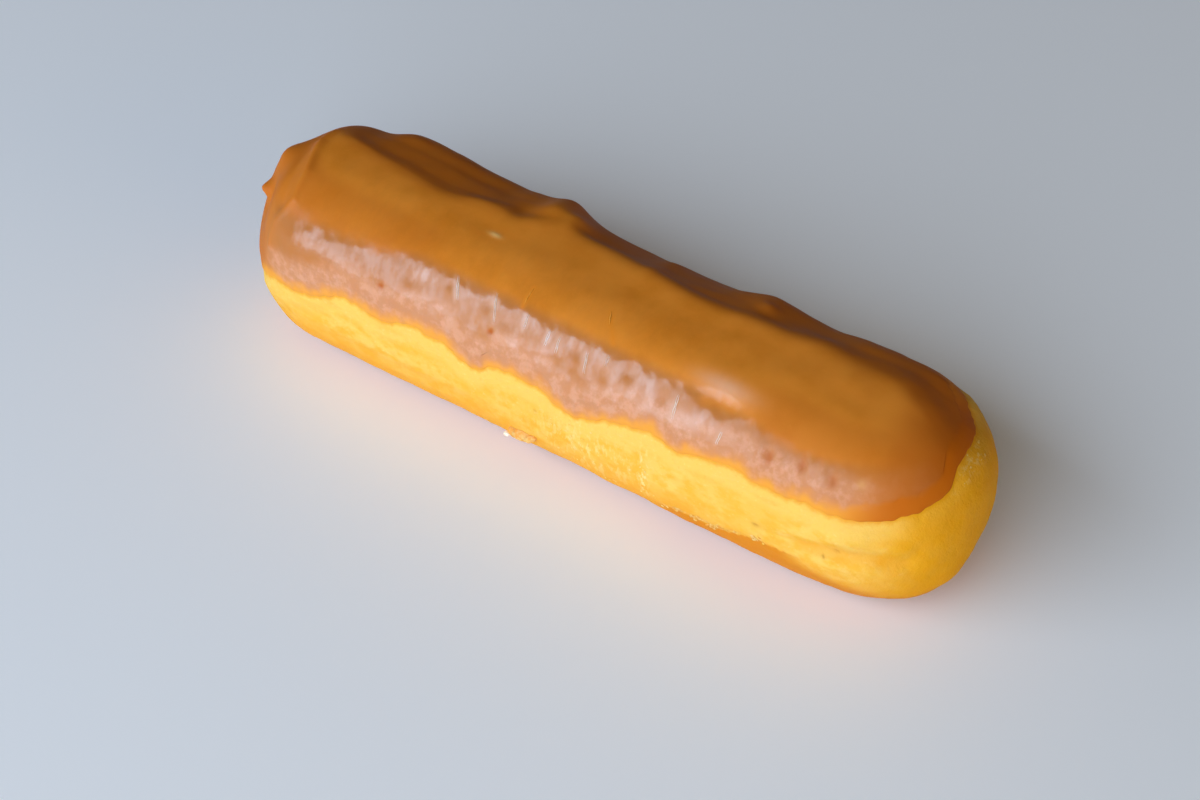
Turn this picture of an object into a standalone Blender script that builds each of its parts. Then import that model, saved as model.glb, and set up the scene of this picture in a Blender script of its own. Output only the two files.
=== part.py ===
# Long john doughnut: a bar of fried yeast dough with a skin of maple icing over its top.
# Metres, +Z up. The bar lies along X with its bare end at +X, and its shown side faces -Y.
# The origin is under the middle of its box, on the level that it rests on.
#
# Both pieces are sheets wrapped on one body. A column is a place on the contour seen from
# above, and a fall is the angle from the crown (0) over the widest line (90) to the keel (180).

import bpy
import numpy as np

MM = 0.001

# Driving dimensions
LENGTH = 0.1756              # between the ends of the plain stadium contour
WIDTH = 0.048
HEIGHT = 0.0424
WIDEST_SHARE = 0.47          # height of the widest line, as a share of HEIGHT
BASE_SINK = 0.0004           # how far the round underside is pressed flat by its own weight
TOP_SQUARENESS = 0.746       # powers of the section's sine and cosine, 1 for an ellipse
BASE_SQUARENESS = 0.71
BARE_END_SQUARENESS = 0.908  # the same for the contour's two ends
ICED_END_SQUARENESS = 1.1
BARE_END_STRETCH = 1.117     # how far each end reaches, for a round end of 1
ICED_END_STRETCH = 1.096
TAPER = -0.02                # the bare end is this share lower than the middle
BOW = 0.00076                # sideways bend of the middle
SAG = -0.00052               # the middle of the crown lies this much lower

ICING_THICKNESS = 0.0014
ICING_GAP = 0.0003
LIP_SHARE = 0.5              # thickness of the icing's edge, as a share of the whole
LIP_WIDTH = 7.0              # degrees of fall over which the icing thins to its edge
TUCK_WIDTH = 9.0             # degrees of fall over which the dough rises from under the icing

# Mesh sizes
SIDE_COLUMNS = 46
END_COLUMNS = 12             # on each quarter of an end
ICED_RINGS = 10
BARE_RINGS = 12
CROWN_FALL = 5.0             # first and last fall, with a strip of faces across the middle
KEEL_FALL = 169.0

# Icing edge: the fall that it reaches, by millimetres along the contour from the middle of
# the shown side, positive towards the bare end. Past +-202 lies the middle of the back.
ICING_REACH = [
    (-150, 86), (-101, 100), (-82, 98), (-73, 90), (-54, 82), (-36, 80), (0, 78), (20, 79),
    (31, 74), (46, 72), (64, 71), (75, 69), (86, 62), (94, 57), (98, 49), (126, 45),
    (142, 54), (160, 70), (202, 76),
]

# Drips below that line: millimetres along the contour, half width, extra fall in degrees.
DRIPS = [(-60, 4, 2.5), (-43, 4.5, 5.5), (-17, 4, 6.5), (6, 3.5, 7), (13, 3, 3), (52, 3, 1.5)]

# Swells and hollows of the fried body, in millimetres: middle, reach, rise along the normal.
RELIEF = [
    ((0, 18, 37), (22, 9, 9), -3.5),        # long hollow in the rear shoulder
    ((-22, 17, 37), (4, 8, 8), 1.8),        # hummocks that stand in it
    ((5, 18, 37), (3, 6, 6), 0.7),
    ((29, 17, 37), (3, 7, 7), 0.5),
    ((19, 18, 36), (7, 7, 7), -0.8),
    ((-42, 17, 37), (9, 8, 8), -1.2),
    ((-34, 17, 38), (4, 7, 6), -0.6),
    ((43, 17, 37), (8, 7, 7), -1.4),
    ((-70, 18, 36), (5, 7, 7), -1.4),
    ((-84, 7, 38), (6, 7, 6), -1.3),
    ((-84, -4, 39), (3, 4, 3), 1.7),        # blunt corner of the iced end
    ((-84, -13, 31), (5, 7, 7), -2.6),      # pinched face below it
    ((-90, -2, 27), (5, 9, 8), -1.5),
    ((-73, -14, 36), (4, 8, 8), 0.5),       # crease round the iced end
    ((-78, -20, 14), (6, 6, 6), 0.5),
    ((88, 8, 11), (6, 10, 6), -0.8),        # under the bare end
    ((86, -8, 6), (6, 6, 6), 0.5),
    ((70, -21, 6), (13, 6, 5), -0.7),
    ((46, -23, 11.5), (13, 3, 1.8), -0.8),  # torn seam above the browned underside
    ((43, -22.5, 8), (9, 3, 1.5), 0.4),
    ((-8, -21.5, 8), (2.4, 3, 1.6), 1.0),   # loose flake of crust
]

# The icing's own relief, written the same way.
ICING_RELIEF = [
    ((-84, -10, 33), (1.8, 2.5, 1.8), 1.8), # frozen drip on the iced end
    ((-43, -23, 25), (4, 4, 3), 0.3),       # fat ends of the drips
    ((-17, -23, 25), (4, 4, 3), 0.35),
    ((6, -23, 25), (4, 4, 3), 0.35),
    ((37, -16, 38), (6, 2.5, 2.5), -0.35),  # dimple in the shown slope
]

DOUGH_COLOUR = (0.93, 0.62, 0.17, 1)
ICING_COLOUR = (0.43, 0.15, 0.025, 1)


def clear_scene():
    for thing in list(bpy.data.objects):
        bpy.data.objects.remove(thing, do_unlink=True)


def powered(value, power):
    return np.sign(value) * np.abs(value) ** power


def eased(value):
    value = np.clip(value, 0, 1)
    return value * value * (3 - 2 * value)


# The contour starts at the iced tip and runs along the shown side to the bare tip, then back.
# It gives each column's place on the middle line, its way outwards, and its walk in metres.
def contour():
    radius = WIDTH / 2
    run = LENGTH / 2 - radius
    quarter = np.linspace(0, np.pi / 2, END_COLUMNS, endpoint=False)
    iced = (-ICED_END_STRETCH * powered(np.cos(quarter), ICED_END_SQUARENESS),
            powered(np.sin(quarter), ICED_END_SQUARENESS))
    bare = (BARE_END_STRETCH * powered(np.sin(quarter), BARE_END_SQUARENESS),
            powered(np.cos(quarter), BARE_END_SQUARENESS))
    straight = np.linspace(-run, run, SIDE_COLUMNS, endpoint=False)
    middle = np.concatenate([np.full(END_COLUMNS, -run), straight, np.full(END_COLUMNS + 1, run)])
    ahead = np.concatenate([iced[0], np.zeros(SIDE_COLUMNS), bare[0], [BARE_END_STRETCH]])
    aside = np.concatenate([iced[1], np.ones(SIDE_COLUMNS), bare[1], [0.0]])
    walk = np.concatenate([-run - radius * (np.pi / 2 - quarter), straight,
                           run + radius * np.append(quarter, np.pi / 2)])
    around = 2 * (2 * run + np.pi * radius)
    back = slice(-2, 0, -1)
    back_walk = np.where(walk[back] > 0, 1, -1) * around / 2 - walk[back]
    return (np.concatenate([middle, middle[back]]), np.concatenate([ahead, ahead[back]]),
            np.concatenate([-aside, aside[back]]), np.concatenate([walk, back_walk]))


def icing_reach(walk):
    places, falls = zip(*ICING_REACH)
    around = 2 * (LENGTH - WIDTH) + np.pi * WIDTH
    reach = np.interp(walk / MM, places, falls, period=around / MM)
    reach = (np.roll(reach, 1) + 2 * reach + np.roll(reach, -1)) / 4
    for place, half_width, extra in DRIPS:
        reach += extra * np.exp(-((walk / MM - place) / half_width) ** 2)
    return reach


def add_relief(points, normals, entries):
    rise = np.zeros(points.shape[:2])
    for middle, reach, height in entries:
        away = (points / MM - np.array(middle)) / np.array(reach)
        rise += height * np.exp(-(away ** 2).sum(-1))
    return points + normals * rise[..., None] * MM


def normals_of(points):
    along = np.roll(points, -1, axis=1) - np.roll(points, 1, axis=1)
    down = np.gradient(points, axis=0)
    normals = np.cross(down, along)
    return normals / np.linalg.norm(normals, axis=-1, keepdims=True)


# Points of the finished outer form at a grid of falls, in degrees, one row to a ring.
def outer_form(falls):
    middle, ahead, aside, _ = contour()
    angle = np.radians(falls)
    over = falls < 90
    sine = np.where(over, powered(np.sin(angle), TOP_SQUARENESS), powered(np.sin(angle), BASE_SQUARENESS))
    cosine = np.where(over, powered(np.cos(angle), TOP_SQUARENESS), powered(np.cos(angle), BASE_SQUARENESS))
    widest = WIDEST_SHARE * HEIGHT
    x = middle + ahead * WIDTH / 2 * sine
    y = aside * WIDTH / 2 * sine
    z = widest + cosine * np.where(over, HEIGHT - widest, widest + BASE_SINK)
    u = x / (LENGTH / 2)
    y = y + BOW * (1 - u * u)
    z = z * (1 + TAPER * u) + SAG * (1 - u * u) * z / HEIGHT
    points = np.stack([x, y, z], axis=-1)
    return add_relief(points, normals_of(points), RELIEF)


def iced_falls(reach):
    share = np.linspace(0, 1, ICED_RINGS)[:, None]
    return CROWN_FALL + (reach - CROWN_FALL) * share


def bare_falls(reach):
    share = np.linspace(0, 1, BARE_RINGS + 1)[1:, None]
    return reach + (KEEL_FALL - reach) * share


# The dough lies under the icing by the icing's thickness and comes out to the outer form below.
def dough_points(falls, reach):
    outer = outer_form(falls)
    cover = ICING_GAP + ICING_THICKNESS * (1 - (1 - LIP_SHARE) * eased((falls - reach) / LIP_WIDTH + 1))
    depth = cover * (1 - eased((falls - reach) / TUCK_WIDTH))
    points = outer - normals_of(outer) * depth[..., None]
    points[..., 2] = np.maximum(points[..., 2], 0)
    return points


def icing_points(dough, falls, reach):
    normals = normals_of(dough)
    inner = dough + normals * ICING_GAP
    thickness = ICING_THICKNESS * (1 - (1 - LIP_SHARE) * eased((falls - reach) / LIP_WIDTH + 1))
    outer = inner + normals * thickness[..., None]
    return inner, add_relief(outer, normals, ICING_RELIEF)


# Faces of a closed skin of rings, from an upper strip across the middle to a lower one.
def skin_faces(rings, columns):
    faces = []
    for ring in range(rings - 1):
        upper, lower = ring * columns, (ring + 1) * columns
        for column in range(columns):
            after = (column + 1) % columns
            faces.append((upper + column, lower + column, lower + after, upper + after))
    last = (rings - 1) * columns
    for column in range(columns // 2):
        ends = [column, column + 1, (columns - column - 1) % columns, (columns - column) % columns]
        face = list(dict.fromkeys(ends))
        faces.append(tuple(face))
        faces.append(tuple(last + end for end in reversed(face)))
    return faces


def make_material(name, colour, roughness, coat):
    material = bpy.data.materials.new(name)
    material.use_nodes = True
    shader = material.node_tree.nodes["Principled BSDF"]
    shader.inputs["Base Color"].default_value = colour
    shader.inputs["Roughness"].default_value = roughness
    shader.inputs["Metallic"].default_value = 0
    shader.inputs["Coat Weight"].default_value = coat
    return material


def make_piece(name, rings, material, parent):
    columns = rings.shape[1]
    mesh = bpy.data.meshes.new(name)
    mesh.from_pydata(rings.reshape(-1, 3).tolist(), [], skin_faces(len(rings), columns))
    mesh.shade_smooth()
    mesh.materials.append(material)
    piece = bpy.data.objects.new(name, mesh)
    bpy.context.scene.collection.objects.link(piece)
    piece.parent = parent
    return piece


def make_doughnut():
    clear_scene()
    doughnut = bpy.data.objects.new("long_john_doughnut", None)
    bpy.context.scene.collection.objects.link(doughnut)
    walk = contour()[3]
    reach = icing_reach(walk)
    falls = np.concatenate([iced_falls(reach), bare_falls(reach)])
    dough = dough_points(falls, reach)
    inner, outer = icing_points(dough, falls, reach)
    skin = np.concatenate([outer[:ICED_RINGS], inner[:ICED_RINGS][::-1]])
    both = np.concatenate([dough, skin]).reshape(-1, 3)
    middle = (both.min(axis=0) + both.max(axis=0)) / 2
    middle[2] = 0
    make_piece("dough", dough - middle, make_material("fried_dough", DOUGH_COLOUR, 0.6, 0), doughnut)
    make_piece("icing", skin - middle, make_material("maple_icing", ICING_COLOUR, 0.35, 0.3), doughnut)


make_doughnut()
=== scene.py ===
import math

import bpy
import numpy as np
from mathutils import Matrix, Vector
from mathutils.bvhtree import BVHTree


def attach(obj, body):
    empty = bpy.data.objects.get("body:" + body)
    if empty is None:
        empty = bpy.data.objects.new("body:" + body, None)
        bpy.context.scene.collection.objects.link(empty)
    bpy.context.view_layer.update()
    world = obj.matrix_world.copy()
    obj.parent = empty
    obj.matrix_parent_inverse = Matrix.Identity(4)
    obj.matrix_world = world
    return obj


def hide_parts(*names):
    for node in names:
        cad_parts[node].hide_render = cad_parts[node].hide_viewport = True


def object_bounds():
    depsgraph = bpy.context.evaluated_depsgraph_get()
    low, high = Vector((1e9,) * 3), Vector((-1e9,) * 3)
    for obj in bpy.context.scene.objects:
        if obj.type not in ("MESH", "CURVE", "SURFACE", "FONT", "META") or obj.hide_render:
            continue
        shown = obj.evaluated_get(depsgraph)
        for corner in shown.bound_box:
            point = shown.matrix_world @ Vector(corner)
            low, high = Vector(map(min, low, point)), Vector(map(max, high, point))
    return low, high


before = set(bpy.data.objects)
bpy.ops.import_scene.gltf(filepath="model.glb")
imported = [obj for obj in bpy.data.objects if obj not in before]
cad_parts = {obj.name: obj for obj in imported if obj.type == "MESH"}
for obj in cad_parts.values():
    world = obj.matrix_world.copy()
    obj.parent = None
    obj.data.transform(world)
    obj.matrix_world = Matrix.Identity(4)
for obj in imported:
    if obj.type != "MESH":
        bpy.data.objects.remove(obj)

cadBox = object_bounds()  # the solids' box, before anything is dressed
mm = 0.001


def say(stage):
    print("[long john]", stage)


def addObject(name, data):
    thing = bpy.data.objects.new(name, data)
    bpy.context.scene.collection.objects.link(thing)
    return thing


# Camera and light
shot = {
    "aim": (-5.472, 4.333, 0.0),  # mm
    "azimuth": 34.778,
    "elevation": 41.912,
    "roll": 0.713,
    "distance": 668.5,
    "lens": 92.2,
}


def makeCamera(spec):
    azimuth, elevation, roll = (math.radians(spec[k]) for k in ("azimuth", "elevation", "roll"))
    back = Vector((math.sin(azimuth) * math.cos(elevation),
                   -math.cos(azimuth) * math.cos(elevation), math.sin(elevation)))
    right = Vector((math.cos(azimuth), math.sin(azimuth), 0))
    up = back.cross(right)
    across = right * math.cos(roll) + up * math.sin(roll)
    upright = up * math.cos(roll) - right * math.sin(roll)
    turned = Matrix((across, upright, back)).transposed().to_4x4()
    camera = addObject("camera", bpy.data.cameras.new("camera"))
    camera.data.lens = spec["lens"]
    camera.data.clip_start = 0.01
    camera.matrix_world = Matrix.Translation(
        Vector(spec["aim"]) * mm + back * spec["distance"] * mm) @ turned
    bpy.context.scene.camera = camera


lighting = {
    "window": {"way": (-0.170, -0.875, 0.454), "away": 1.3, "size": (2.2, 1.2), "watts": 33,
               "colour": (0.66, 0.80, 1.0)},
    "warmFill": {"way": (0.93, -0.25, 0.26), "away": 1.2, "size": (0.9, 0.5), "watts": 2.2,
                 "colour": (1.0, 0.70, 0.15)},
    "roomAhead": (0.07, 0.07, 0.075),  # radiance of the room towards the window
    "roomBehind": (0.056, 0.036, 0.018),
    "roomTurn": (-0.6, 0.9),  # cosines between which one goes over into the other
}


def makeLight(name, spec):
    lamp = bpy.data.lights.new(name, "AREA")
    lamp.shape = "RECTANGLE"
    lamp.size, lamp.size_y = spec["size"]
    lamp.energy = spec["watts"]
    lamp.color = spec["colour"]
    way = Vector(spec["way"]).normalized()
    light = addObject(name, lamp)
    light.location = way * spec["away"]
    light.rotation_euler = way.to_track_quat("Z", "Y").to_euler()


def makeRoom(spec):
    world = bpy.data.worlds.new("room")
    world.use_nodes = True
    tree = world.node_tree
    way = Vector(spec["window"]["way"]).normalized()
    facing = addNode(tree, "ShaderNodeVectorMath", {0: place(tree), 1: way})
    facing.operation = "DOT_PRODUCT"
    share = remap(tree, facing.outputs["Value"], *spec["roomTurn"])
    colour = blend(tree, share, spec["roomBehind"], spec["roomAhead"])
    fill(tree, tree.nodes["Background"], {"Color": colour})
    bpy.context.scene.world = world
    bpy.context.scene.view_settings.view_transform = "Standard"


# Shader nodes
def startMaterial(name):
    material = bpy.data.materials.new(name)
    material.use_nodes = True
    tree = material.node_tree
    return material, tree, tree.nodes["Principled BSDF"]


def join(tree, source, socket):
    if isinstance(source, bpy.types.NodeSocket):
        tree.links.new(source, socket)
    elif socket.type == "RGBA" and len(source) == 3:
        socket.default_value = (*source, 1)
    else:
        socket.default_value = source


def fill(tree, node, values):
    for title, value in values.items():
        join(tree, value, node.inputs[title])
    return node


def addNode(tree, kind, values=None):
    return fill(tree, tree.nodes.new(kind), values or {})


# What a new node gives out first.
def made(tree, kind, values=None):
    return addNode(tree, kind, values).outputs[0]


def calc(tree, operation, *values):
    node = addNode(tree, "ShaderNodeMath", dict(enumerate(values)))
    node.operation = operation
    return node.outputs[0]


def remap(tree, value, fromLow, fromHigh, low=0.0, high=1.0):
    node = addNode(tree, "ShaderNodeMapRange", dict(enumerate((value, fromLow, fromHigh, low, high))))
    node.interpolation_type = "SMOOTHSTEP"
    return node.outputs[0]


def blend(tree, share, first, second):
    node = tree.nodes.new("ShaderNodeMix")
    node.data_type = "RGBA"
    return fill(tree, node, {0: share, 6: first, 7: second}).outputs[2]


# Lays tints over a colour one after another, each where its share says.
def layered(tree, colour, tints, layers):
    for share, tint in layers:
        colour = blend(tree, share, colour, tints[tint])
    return colour


def place(tree, stretch=(1, 1, 1), shift=(0, 0, 0)):
    spot = addNode(tree, "ShaderNodeTexCoord").outputs["Object"]
    return made(tree, "ShaderNodeMapping", {"Vector": spot, "Location": shift, "Scale": stretch})


# The x, y and z of a place on the bar, in metres.
def axes(tree):
    return addNode(tree, "ShaderNodeSeparateXYZ", {0: place(tree)}).outputs


def noise(tree, length, detail=2.0, rough=0.5, stretch=(1, 1, 1), shift=(0, 0, 0)):
    return made(tree, "ShaderNodeTexNoise", {
        "Vector": place(tree, stretch, shift), "Scale": 1 / (length * mm),
        "Detail": detail, "Roughness": rough})


# A value that noise carries up and down by as much as swing.
def ragged(tree, value, grain, swing):
    return calc(tree, "ADD", value, calc(tree, "MULTIPLY", calc(tree, "SUBTRACT", grain, 0.5), swing))


def attribute(tree, name):
    node = tree.nodes.new("ShaderNodeAttribute")
    node.attribute_name = name
    return node.outputs["Fac"]


def bump(tree, height, depth, previous=None):
    values = {"Distance": depth * mm, "Height": height}
    if previous is not None:
        values["Normal"] = previous
    return made(tree, "ShaderNodeBump", values)


# The fried bar that everything is wrapped on. A column is a place on the outline seen from
# above. A fall runs from the crown (0 degrees) over the widest line (90) to the keel (180),
# and an arc is the same in mm down the section. A swell is the three numbers of its middle and
# of its reach and a rise, in mm. A crease is points on the skin, a half width and a rise.
bar = {
    "length": 175.6,  # of the plain outline, mm
    "width": 48.0,
    "height": 42.4,
    "widestShare": 0.47,  # height of the widest line, share of the height
    "baseSink": 0.4,  # underside pressed flat, mm
    "topSquareness": 0.746,
    "baseSquareness": 0.71,
    "icedEnd": (1.096, 1.1),  # stretch and squareness
    "bareEnd": (1.117, 0.908),
    "taper": -0.02,
    "bow": 0.76,
    "sag": -0.52,
    "offset": (-0.439, -0.554, 0),  # puts the middle of the box over the origin
    "crownFall": 0.5,
    "keelFall": 179.0,
    "columns": 920,
    "swells": [
        (0, 18, 37, 22, 9, 9, -3.5),  # long hollow in the rear shoulder, and what stands in it
        (-22, 17, 37, 4, 8, 8, 1.8), (5, 18, 37, 3, 6, 6, 0.7), (29, 17, 37, 3, 7, 7, 0.5),
        (19, 18, 36, 7, 7, 7, -0.8), (-42, 17, 37, 9, 8, 8, -1.2), (-34, 17, 38, 4, 7, 6, -0.6),
        (43, 17, 37, 8, 7, 7, -1.4), (-70, 18, 36, 5, 7, 7, -1.4), (-84, 7, 38, 6, 7, 6, -1.3),
        (-84, -4, 39, 3, 4, 3, 1.7),  # blunt corner of the iced end, then its pinched face
        (-84, -13, 31, 5, 7, 7, -2.6), (-90, -2, 27, 5, 9, 8, -1.5), (-73, -14, 36, 4, 8, 8, 0.5),
        (-60, -21.6, 32.6, 15, 5, 5, 1.5),  # square shoulder, then the iced end's facet
        (-83, -5, 40, 5, 8, 5, -1.1),
        (-19.5, 10.9, 41, 4.2, 4.5, 4, 1.35), (-15, 11, 41, 2.9, 4.2, 4, 1.3),  # rear relief
        (-34.5, 2.5, 42.5, 4, 2.5, 3, 0.3), (6.5, 9.5, 41.5, 2, 4, 3, 0.5),
        (31.5, 13, 40.2, 2.5, 2.5, 3, 0.9), (44, 9, 41, 4, 3.5, 3.5, 0.35),
        (-26.5, 5.5, 42, 2.5, 3, 3, -0.5), (-7, 11, 41, 4, 4, 4, -0.3),
        (18.5, 7.5, 41.5, 5, 3, 4, -0.3), (60, 0, 43, 5, 3, 3, 0.3),
        (-78, -20, 14, 6, 6, 6, 0.5),  # low on the shown side, then under the bare end
        (88, 8, 11, 6, 10, 6, -0.8), (86, -8, 6, 6, 6, 6, 0.5), (70, -21, 6, 13, 6, 5, -0.7),
    ],
    "brow": {         # line along the top behind which the form falls away
        "line": [(-80, 6), (-72, 2.5), (-64, 0.5), (-56, 0), (-48, -0.8), (-42, -1), (-36, 1), (-30, 2.6),
                 (-24, 2.6), (-20, 4), (-16, 5), (-11, 6.5), (-4, 6.2), (4, 5), (12, 4.5),
                 (18, 3.3), (24, 3), (30, 4), (36, 4.8), (43, 4), (49, 6.5), (55, 4.5), (61, 4.5),
                 (67, 5), (72, 1), (78, -3), (86, -6)],
        "rounding": (-3, -1.5, 0, 1.5, 3),  # steps in x over which its corners are rounded
        # x, then lift, drop, the run over which it drops and the run over which that sets in
        "along": [(-76, 0.3, 1.5, 12, 7), (-38, 0.3, 1.5, 11, 7), (-28, 0.4, 1.1, 8, 6),
                  (-23, 0.3, 0.6, 6, 5), (-16, 0.2, 0.4, 6, 5), (-10, 0.4, 1.2, 7, 5), (38, 0.4, 1.1, 8, 6),
                  (50, 0.4, 1.0, 10, 8), (62, 0.3, 1.1, 13, 11), (74, 0.1, 1.6, 15, 13)],
        "lead": 0.5,  # how far before the line the drop begins
        "liftWidth": 4,
        "back": (12, 8),  # y and run over which it comes back to the outer form
        "starts": (-78, 10),  # x and run, then z and run
        "ends": (90, -12),
        "above": (28, 8),
    },
}


def powered(value, power):
    return np.sign(value) * np.abs(value) ** power


def eased(value):
    value = np.clip(value, 0, 1)
    return value * value * (3 - 2 * value)


# Goes from 0 at the start to 1 a run further on, or further back where the run is negative.
def ramp(value, start, run):
    return eased((value - start) / run)


def outlineOf(form):
    radius = form["width"] / 2
    run = form["length"] / 2 - radius
    halfWay = run + radius * math.pi / 2
    walk = np.linspace(-halfWay, halfWay, form["columns"] // 2, endpoint=False)
    turn = np.clip((np.abs(walk) - run) / radius, 0, math.pi / 2)
    stretch, square = np.where(walk[:, None] < 0, form["icedEnd"], form["bareEnd"]).T
    back = slice(None, 0, -1)
    ahead = np.sign(walk) * stretch * powered(np.sin(turn), square)
    aside = -powered(np.cos(turn), square)
    middle = np.clip(walk, -run, run)
    behind = 2 * halfWay - walk[back]
    behind = np.where(behind > 2 * halfWay, behind - 4 * halfWay, behind)
    return {
        "middle": np.concatenate([middle, [run], middle[back]]),
        "ahead": np.concatenate([ahead, [form["bareEnd"][0]], ahead[back]]),
        "aside": np.concatenate([aside, [0], -aside[back]]),
        "walk": np.concatenate([walk, [halfWay], behind]),
        "around": 4 * halfWay,
    }


def sectionOf(form):
    falls = np.linspace(0, 180, 3601)
    angle = np.radians(falls)
    power = np.where(falls < 90, form["topSquareness"], form["baseSquareness"])
    widest = form["widestShare"] * form["height"]
    across = powered(np.sin(angle), power) * form["width"] / 2
    up = powered(np.cos(angle), power) * np.where(falls < 90, form["height"] - widest, widest)
    return falls, np.append(0, np.cumsum(np.hypot(np.diff(across), np.diff(up))))


outline = outlineOf(bar)
sectionFalls, sectionArcs = sectionOf(bar)


def arcAt(falls):
    return np.interp(falls, sectionFalls, sectionArcs)


def fallAt(arcs):
    return np.interp(arcs, sectionArcs, sectionFalls)


def normalsOf(points):
    along = np.roll(points, -1, axis=1) - np.roll(points, 1, axis=1)
    down = np.gradient(points, axis=0)
    normals = np.cross(down, along)
    return normals / np.linalg.norm(normals, axis=-1, keepdims=True)


def swellRise(points, swells):
    rise = np.zeros(points.shape[:-1])
    for *form, height in swells:
        middle, reach = np.reshape(form, (2, 3))
        rise += height * np.exp(-(((points - middle) / reach) ** 2).sum(-1))
    return rise


def lineDistance(points, line):
    nearest = np.full(points.shape[:-1], np.inf)
    for start, end in zip(np.array(line[:-1], float), np.array(line[1:], float)):
        step = end - start
        share = np.clip(((points - start) @ step) / (step @ step), 0, 1)
        nearest = np.minimum(nearest, np.linalg.norm(points - start - share[..., None] * step, axis=-1))
    return nearest


def creaseRise(points, creases):
    rise = np.zeros(points.shape[:-1])
    for line, halfWidth, height in creases:
        rise += height * np.exp(-(lineDistance(points, line) / halfWidth) ** 2)
    return rise


# mm behind the line along the top, which is rounded at its corners
def behindBrow(points):
    places, asides = zip(*bar["brow"]["line"])
    x, y = points[..., 0], points[..., 1]
    steps = bar["brow"]["rounding"]
    return y - sum(np.interp(x + step, places, asides) for step in steps) / len(steps)


def browRise(points, brow):
    x, y, z = np.moveaxis(points, -1, 0)
    places, *columns = zip(*brow["along"])
    lift, drop, run, onset = (np.interp(x, places, column) for column in columns)
    there = ramp(x, *brow["starts"]) * ramp(x, *brow["ends"]) * ramp(z, *brow["above"])
    behind = behindBrow(points) + brow["lead"]
    gone = np.clip(behind / run, 0, 1)
    fall = gone * (2 - gone) * eased(behind / onset) * (1 - ramp(y, *brow["back"]))
    return there * (lift * np.exp(-(behind / brow["liftWidth"]) ** 2) - drop * fall)


# Points of the bar's outer form, in mm, one row for each ring of falls.
def barPoints(form, falls):
    angle = np.radians(falls)
    power = np.where(falls < 90, form["topSquareness"], form["baseSquareness"])
    sine, cosine = powered(np.sin(angle), power), powered(np.cos(angle), power)
    widest = form["widestShare"] * form["height"]
    x = outline["middle"] + outline["ahead"] * form["width"] / 2 * sine
    y = outline["aside"] * form["width"] / 2 * sine
    z = widest + cosine * np.where(falls < 90, form["height"] - widest, widest + form["baseSink"])
    u = x / (form["length"] / 2)
    y = y + form["bow"] * (1 - u * u)
    z = z * (1 + form["taper"] * u) + form["sag"] * (1 - u * u) * z / form["height"]
    points = np.stack([x, y, z], axis=-1)
    rise = swellRise(points, form["swells"]) + browRise(points, form["brow"])
    return points + normalsOf(points) * rise[..., None]


# Where the icing stops: mm along the outline from the middle of the shown side, and fall.
icingEdge = {
    "line": [(-150, 86), (-101, 104), (-88, 107), (-84, 101), (-79, 95), (-74, 91), (-66, 90), (-60, 89),
             (-56, 85), (-52, 82), (-47.5, 84), (-42.5, 86), (-39, 84), (-36, 80.5), (-32.5, 80),
             (-29, 82), (-26.5, 80.5), (-22.5, 85), (-18, 87), (-15.5, 85), (-13, 81.5), (-9, 80),
             (-3, 81), (0.5, 81), (3, 86), (8, 87), (12, 84), (15.5, 81), (22, 77), (28, 74.5),
             (30.5, 78.5), (33.5, 79.5), (37, 75.5), (41, 74), (45, 72.5), (48.5, 71), (50.5, 76.5),
             (54, 73.5), (58, 75), (61, 72), (65, 73), (71, 72), (77.5, 70), (82.5, 67), (86.5, 65),
             (90, 62), (95, 59.5), (97, 53), (99.5, 49.5), (104, 48), (113, 50), (126, 51),
             (142, 58), (160, 71), (202, 76)],
    "smoothing": 14,  # rounds in which its corners are rounded
    "ripples": [(13.0, 0.10), (5.6, 0.16), (2.9, 0.14)],      # length and height in mm
    "spread": (-9, -4, 0, 5, 11),  # waves more or less in each of a ripple's parts
    "parting": 2.2,   # a ripple's height against that of its parts
    "calm": (95, 12, 0.85),  # place, half width and share of a stretch with hardly any ripples
    "seed": 11,
}


def edgeArcs(spec):
    places, falls = zip(*spec["line"])
    walk, around = outline["walk"], outline["around"]
    arcs = np.interp(walk, places, arcAt(falls), period=around)
    for _ in range(spec["smoothing"]):
        arcs = (np.roll(arcs, 1) + 2 * arcs + np.roll(arcs, -1)) / 4
    middle, halfWidth, share = spec["calm"]
    lively = 1 - share * np.exp(-((walk - middle) / halfWidth) ** 2)
    draw = np.random.default_rng(spec["seed"])
    for length, height in spec["ripples"]:
        for more in spec["spread"]:
            turns = (round(around / length) + more) * walk / around + draw.random()
            arcs += lively * height / spec["parting"] * np.sin(2 * math.pi * turns)
    return arcs


edge = edgeArcs(icingEdge)


# How much icing lies over the dough, by the arc that is left to the icing's edge. All in mm.
coat = {
    "thickness": 1.4,
    "lip": 0.16,  # thickness of the rounded edge
    "lipRun": 0.5,       # run over which the lip rounds off
    "thinRun": 4.0,      # run over which the coat thins to its lip
    "tuckRun": 3.5,      # run below the edge over which the dough comes out to the outer form
    "roll": 0.2,  # how far the rounded rim draws back towards its edge
    "rollRun": 3.0,
    "bite": 0.25,        # how far the icing's underside reaches into the dough
}


def coatOver(left):
    return coat["lip"] + (coat["thickness"] - coat["lip"]) * eased(left / coat["thinRun"])


def doughPoints(arcs):
    outer = barPoints(bar, fallAt(arcs))
    left = edge - arcs
    tuck = 1 - eased(-left / coat["tuckRun"])
    depth = coatOver(left) * tuck + coat["roll"] * (1 - eased(left / coat["rollRun"])) * tuck
    points = outer - normalsOf(outer) * depth[..., None]
    points[..., 2] = np.maximum(points[..., 2], 0)
    return points


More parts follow.
